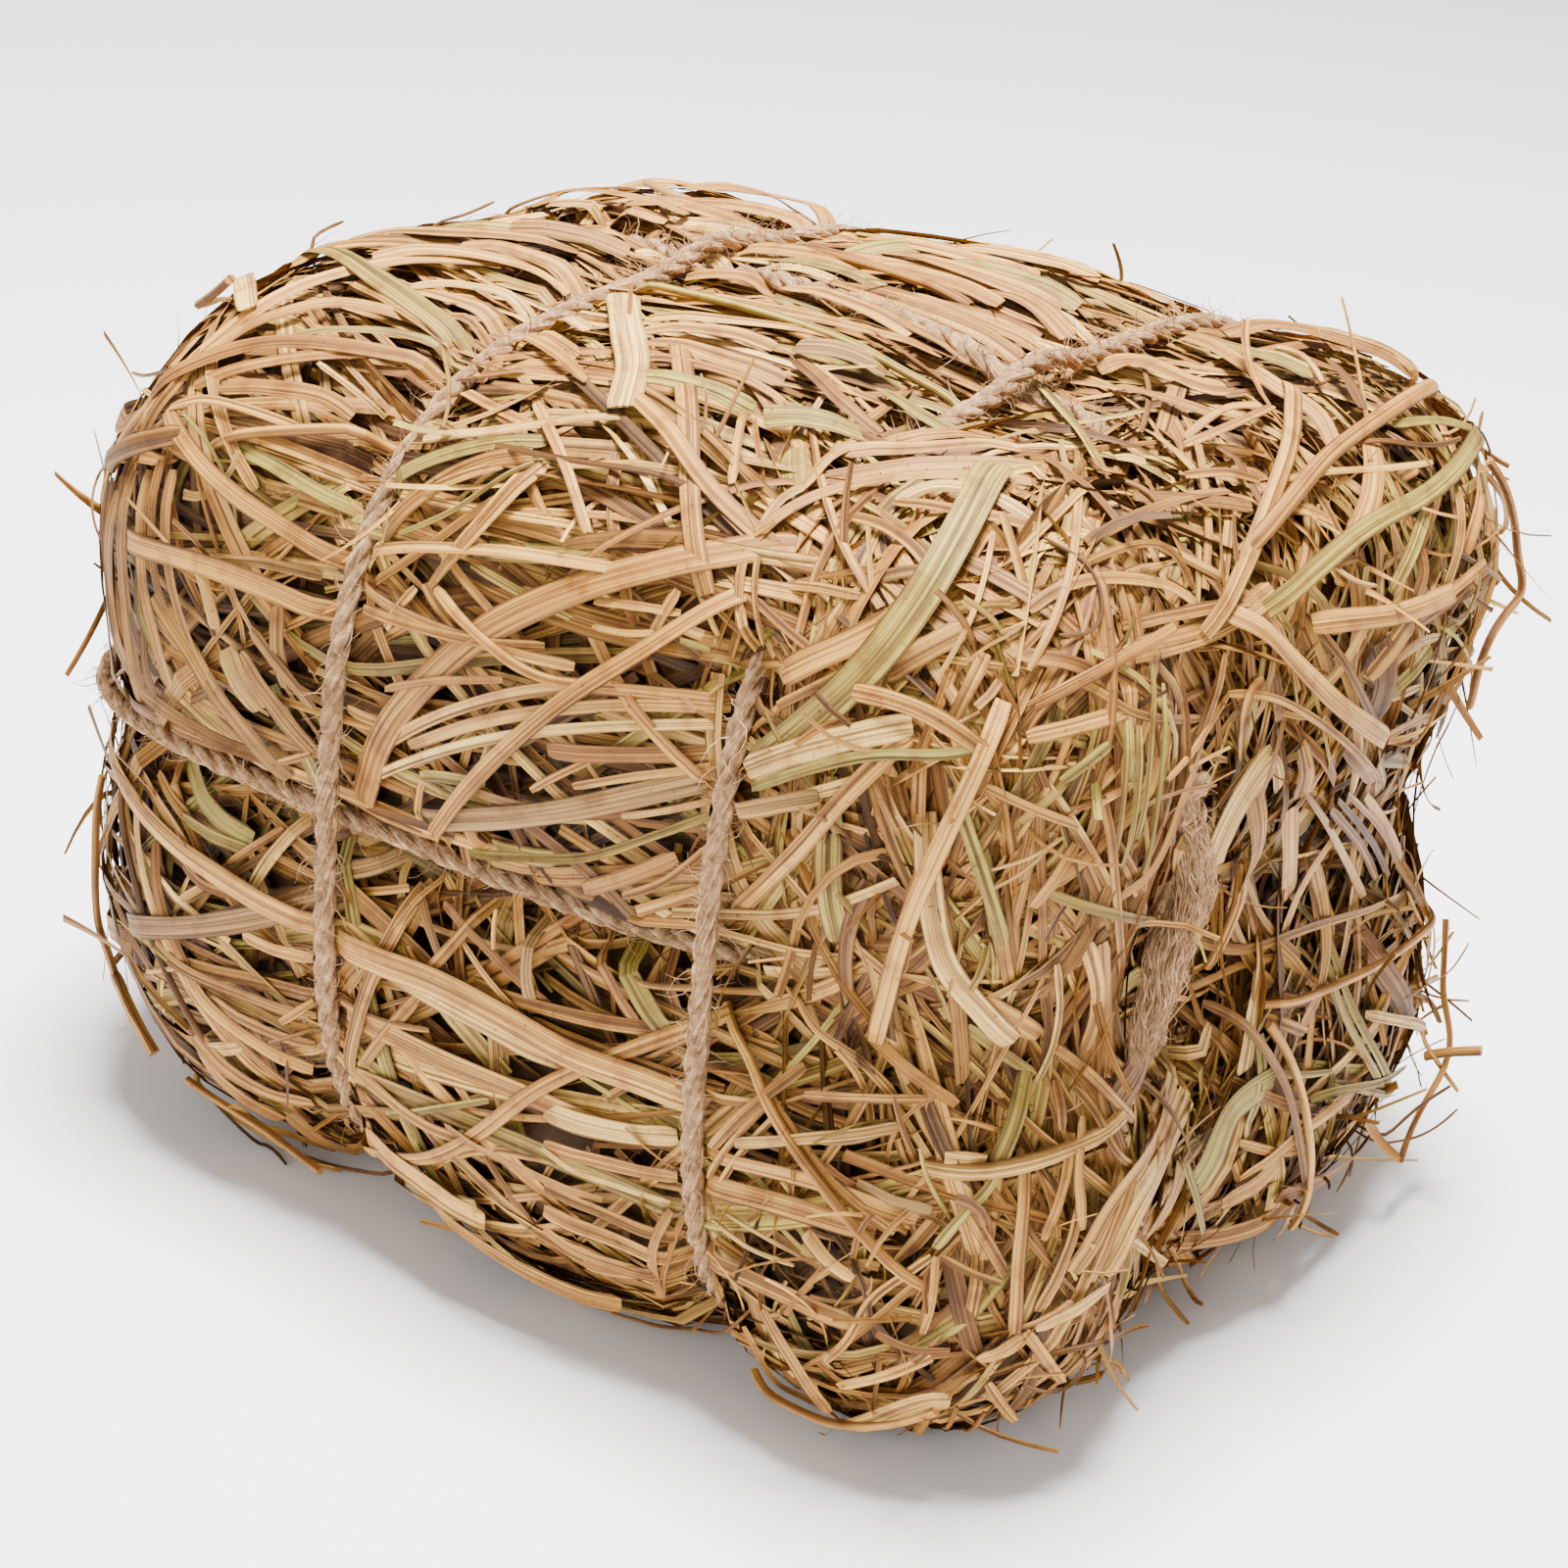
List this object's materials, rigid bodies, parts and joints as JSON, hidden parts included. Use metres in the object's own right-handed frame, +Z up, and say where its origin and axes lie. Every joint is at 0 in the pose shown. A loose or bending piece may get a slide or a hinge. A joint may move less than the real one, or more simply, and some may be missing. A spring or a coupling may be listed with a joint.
{
  "type": "small hay bale",
  "caption": "Small block-shaped bale of dried grass blades and stems, tied lengthwise and crosswise with jute twine; one end is loose and ragged.",
  "frame": {"origin": "centre of the bale's footprint, on the ground it stands on", "axes": "+X along the bale towards its loose, cut end, -Y is the front face, +Z up"},
  "size_m": [0.147, 0.1118, 0.1013],
  "materials": {
    "packed_straw": "matte dried grass, packed",
    "jute_twine": "rough, hairy, two-ply",
    "dried_blade": "matte dried grass blade, ribbed lengthwise",
    "greenish_blade": "matte dried grass blade that kept some green",
    "weathered_blade": "matte grey-brown dried grass blade",
    "pale_blade": "satin pale straw"
  },
  "bodies": {
    "root": {"blade_arched_shoulder": "dried_blade", "blade_back_crossing": "dried_blade", "blade_back_low": "dried_blade", "blade_back_middle": "dried_blade", "blade_back_right": "dried_blade", "blade_back_upper": "dried_blade", "blade_beside_twine": "dried_blade", "blade_corner_long": "dried_blade", "blade_corner_pale": "pale_blade", "blade_end_green": "greenish_blade", "blade_end_level": "dried_blade", "blade_end_slant": "dried_blade", "blade_end_top": "dried_blade", "blade_end_upright": "dried_blade", "blade_front_diagonal": "dried_blade", "blade_front_slant": "dried_blade", "blade_front_upright": "dried_blade", "blade_front_wide": "dried_blade", "blade_green_fold": "greenish_blade", "blade_green_shoulder": "greenish_blade", "blade_grey_left": "weathered_blade", "blade_grey_right": "weathered_blade", "blade_hanging_right": "dried_blade", "blade_left_end": "dried_blade", "blade_left_end_low": "dried_blade", "blade_left_front": "dried_blade", "blade_left_hug": "dried_blade", "blade_left_wrap": "dried_blade", "blade_low_arc": "dried_blade", "blade_low_broad": "dried_blade", "blade_low_diagonal": "dried_blade", "blade_pale_curl": "pale_blade", "blade_pale_folded": "pale_blade", "blade_split_pale": "pale_blade", "stem_back_low": "dried_blade", "stem_end_hanging": "dried_blade", "stem_end_long": "dried_blade", "stem_end_thin": "dried_blade", "stem_front_low": "dried_blade", "stem_left_end": "dried_blade", "stem_left_low": "dried_blade", "stem_left_top": "dried_blade", "stem_out_right": "dried_blade", "stem_pale_short": "pale_blade", "stem_top_green": "greenish_blade", "stem_top_long": "dried_blade", "strand_front_low": "dried_blade", "strand_left_long": "dried_blade", "strand_left_low": "dried_blade", "strand_right_loop": "dried_blade", "strand_right_low": "dried_blade", "straw_block": "packed_straw", "twine_girth_left": "jute_twine", "twine_girth_right": "jute_twine", "twine_knot": "jute_twine", "twine_level": "jute_twine", "twine_tail": "jute_twine", "twine_upright": "jute_twine"}
  },
  "joints": []
}
